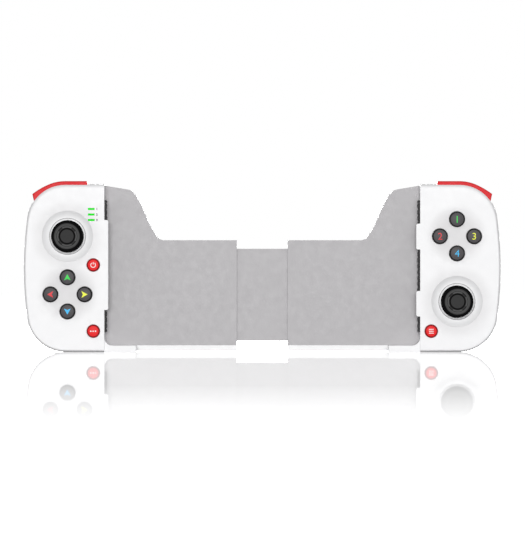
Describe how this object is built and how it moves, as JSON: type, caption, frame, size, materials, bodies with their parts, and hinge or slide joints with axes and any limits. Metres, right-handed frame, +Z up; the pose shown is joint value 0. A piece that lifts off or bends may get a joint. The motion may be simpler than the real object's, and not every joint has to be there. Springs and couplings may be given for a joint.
{
  "type": "mobile game controller",
  "caption": "Stretch game controller that clamps a phone between two white handles with sticks, buttons and red shoulder keys, on a telescopic bridge.",
  "frame": {"origin": "middle of the overall box, on the plane of the handles' lower edges", "axes": "+X from the left handle to the right one, +Y from the front face to the back, +Z up"},
  "size_m": [0.2388, 0.04, 0.0855],
  "materials": {
    "white_shell": "fine satin moulded surface",
    "grey_plate": "fine texture",
    "spring_steel": "drawn wire",
    "pad_rubber": "matte",
    "board_green": "solder mask",
    "silicone": "translucent grey",
    "steel": "bright",
    "inner_dark": "moulded",
    "inner_grey": "moulded",
    "stick_black": "soft touch",
    "red_plastic": "gloss",
    "dark_button": "satin",
    "red_key": "satin",
    "flex_amber": "film",
    "battery_wrap": "wrapped",
    "light_green": "diffusing"
  },
  "bodies": {
    "left_half": {"left_front_shell": "white_shell", "left_rear_shell": "white_shell", "left_phone_plate": "grey_plate", "left_bridge_cover": "white_shell", "left_return_spring": "spring_steel", "left_jaw_pad": "pad_rubber", "left_circuit_board": "board_green", "left_button_membrane": "silicone", "left_case_screws": "steel", "left_stick_housing": "steel", "left_bumper_pin": "steel", "left_trigger_pin": "steel", "battery_cell": "battery_wrap", "charge_port": "steel", "light_pipes": "light_green"},
    "right_half": {"right_front_shell": "white_shell", "right_rear_shell": "white_shell", "right_phone_plate": "grey_plate", "right_bridge_cover": "white_shell", "right_return_spring": "spring_steel", "right_jaw_pad": "pad_rubber", "right_circuit_board": "board_green", "right_button_membrane": "silicone", "right_case_screws": "steel", "right_stick_housing": "steel", "right_bumper_pin": "steel", "right_trigger_pin": "steel"},
    "slide": {"slide_plate": "grey_plate", "flex_cable": "flex_amber"},
    "left_stick_carrier": {"left_stick_carrier": "inner_dark"},
    "left_stick_yoke": {"left_stick_yoke": "inner_grey"},
    "left_stick": {"left_stick_stem": "steel", "left_stick_cap": "stick_black"},
    "up_button": {"up_button": "dark_button"},
    "down_button": {"down_button": "dark_button"},
    "left_button": {"left_button": "dark_button"},
    "right_button": {"right_button": "dark_button"},
    "power_button": {"power_button": "red_key"},
    "select_button": {"select_button": "red_key"},
    "left_bumper": {"left_bumper": "red_plastic"},
    "left_trigger": {"left_trigger": "red_plastic"},
    "right_stick_carrier": {"right_stick_carrier": "inner_dark"},
    "right_stick_yoke": {"right_stick_yoke": "inner_grey"},
    "right_stick": {"right_stick_stem": "steel", "right_stick_cap": "stick_black"},
    "north_button": {"north_button": "dark_button"},
    "south_button": {"south_button": "dark_button"},
    "west_button": {"west_button": "dark_button"},
    "east_button": {"east_button": "dark_button"},
    "start_button": {"start_button": "red_key"},
    "right_bumper": {"right_bumper": "red_plastic"},
    "right_trigger": {"right_trigger": "red_plastic"}
  },
  "joints": [
    {"name": "bridge_slide", "type": "slide", "parent": "left_half", "child": "right_half", "axis": [1, 0, 0], "range_m": [-0.025, 0.024], "deforming": ["left_return_spring", "right_return_spring", "flex_cable"]},
    {"name": "plate_slide", "type": "slide", "parent": "left_half", "child": "slide", "axis": [1, 0, 0], "range_m": [-0.0125, 0.012], "deforming": ["left_return_spring", "right_return_spring", "flex_cable"]},
    {"name": "left_stick_press", "type": "slide", "parent": "left_half", "child": "left_stick_carrier", "axis": [0, 1, 0], "range_m": [0, 0.0005], "stiffness_N_per_m": 3000, "springref_m": -0.0004},
    {"name": "left_stick_pitch", "type": "hinge", "parent": "left_stick_carrier", "child": "left_stick_yoke", "pos_m": [-0.0974, -0.006, 0.05785], "axis": [1, 0, 0], "range_deg": [-14, 14], "stiffness_Nm_per_rad": 0.06},
    {"name": "left_stick_yaw", "type": "hinge", "parent": "left_stick_yoke", "child": "left_stick", "pos_m": [-0.0974, -0.006, 0.05785], "axis": [0, 0, 1], "range_deg": [-14, 14], "stiffness_Nm_per_rad": 0.06},
    {"name": "up_button_press", "type": "slide", "parent": "left_half", "child": "up_button", "axis": [0, 1, 0], "range_m": [0, 0.001], "stiffness_N_per_m": 600, "springref_m": -0.0005, "deforming": ["left_button_membrane"]},
    {"name": "down_button_press", "type": "slide", "parent": "left_half", "child": "down_button", "axis": [0, 1, 0], "range_m": [0, 0.001], "stiffness_N_per_m": 600, "springref_m": -0.0005, "deforming": ["left_button_membrane"]},
    {"name": "left_button_press", "type": "slide", "parent": "left_half", "child": "left_button", "axis": [0, 1, 0], "range_m": [0, 0.001], "stiffness_N_per_m": 600, "springref_m": -0.0005, "deforming": ["left_button_membrane"]},
    {"name": "right_button_press", "type": "slide", "parent": "left_half", "child": "right_button", "axis": [0, 1, 0], "range_m": [0, 0.001], "stiffness_N_per_m": 600, "springref_m": -0.0005, "deforming": ["left_button_membrane"]},
    {"name": "power_button_press", "type": "slide", "parent": "left_half", "child": "power_button", "axis": [0, 1, 0], "range_m": [0, 0.001], "stiffness_N_per_m": 600, "springref_m": -0.0005, "deforming": ["left_button_membrane"]},
    {"name": "select_button_press", "type": "slide", "parent": "left_half", "child": "select_button", "axis": [0, 1, 0], "range_m": [0, 0.001], "stiffness_N_per_m": 600, "springref_m": -0.0005, "deforming": ["left_button_membrane"]},
    {"name": "left_bumper_rock", "type": "hinge", "parent": "left_half", "child": "left_bumper", "pos_m": [-0.091, -0.0055, 0.078], "axis": [0, -1, 0], "range_deg": [0, 2.5], "stiffness_Nm_per_rad": 0.5, "springref_deg": -2.29},
    {"name": "left_trigger_swing", "type": "hinge", "parent": "left_half", "child": "left_trigger", "pos_m": [-0.095, 0.0031, 0.078], "axis": [-1, 0, 0], "range_deg": [0, 16], "stiffness_Nm_per_rad": 0.06, "springref_deg": -5.73},
    {"name": "right_stick_press", "type": "slide", "parent": "right_half", "child": "right_stick_carrier", "axis": [0, 1, 0], "range_m": [0, 0.0005], "stiffness_N_per_m": 3000, "springref_m": -0.0004},
    {"name": "right_stick_pitch", "type": "hinge", "parent": "right_stick_carrier", "child": "right_stick_yoke", "pos_m": [0.0974, -0.006, 0.0252], "axis": [1, 0, 0], "range_deg": [-14, 14], "stiffness_Nm_per_rad": 0.06},
    {"name": "right_stick_yaw", "type": "hinge", "parent": "right_stick_yoke", "child": "right_stick", "pos_m": [0.0974, -0.006, 0.0252], "axis": [0, 0, 1], "range_deg": [-14, 14], "stiffness_Nm_per_rad": 0.06},
    {"name": "north_button_press", "type": "slide", "parent": "right_half", "child": "north_button", "axis": [0, 1, 0], "range_m": [0, 0.001], "stiffness_N_per_m": 600, "springref_m": -0.0005, "deforming": ["right_button_membrane"]},
    {"name": "south_button_press", "type": "slide", "parent": "right_half", "child": "south_button", "axis": [0, 1, 0], "range_m": [0, 0.001], "stiffness_N_per_m": 600, "springref_m": -0.0005, "deforming": ["right_button_membrane"]},
    {"name": "west_button_press", "type": "slide", "parent": "right_half", "child": "west_button", "axis": [0, 1, 0], "range_m": [0, 0.001], "stiffness_N_per_m": 600, "springref_m": -0.0005, "deforming": ["right_button_membrane"]},
    {"name": "east_button_press", "type": "slide", "parent": "right_half", "child": "east_button", "axis": [0, 1, 0], "range_m": [0, 0.001], "stiffness_N_per_m": 600, "springref_m": -0.0005, "deforming": ["right_button_membrane"]},
    {"name": "start_button_press", "type": "slide", "parent": "right_half", "child": "start_button", "axis": [0, 1, 0], "range_m": [0, 0.001], "stiffness_N_per_m": 600, "springref_m": -0.0005, "deforming": ["right_button_membrane"]},
    {"name": "right_bumper_rock", "type": "hinge", "parent": "right_half", "child": "right_bumper", "pos_m": [0.091, -0.0055, 0.078], "axis": [0, 1, 0], "range_deg": [0, 2.5], "stiffness_Nm_per_rad": 0.5, "springref_deg": -2.29},
    {"name": "right_trigger_swing", "type": "hinge", "parent": "right_half", "child": "right_trigger", "pos_m": [0.095, 0.0031, 0.078], "axis": [-1, 0, 0], "range_deg": [0, 16], "stiffness_Nm_per_rad": 0.06, "springref_deg": -5.73}
  ],
  "couplings": [
    {"joint": "plate_slide", "follows": "bridge_slide", "ratio": 0.5}
  ]
}
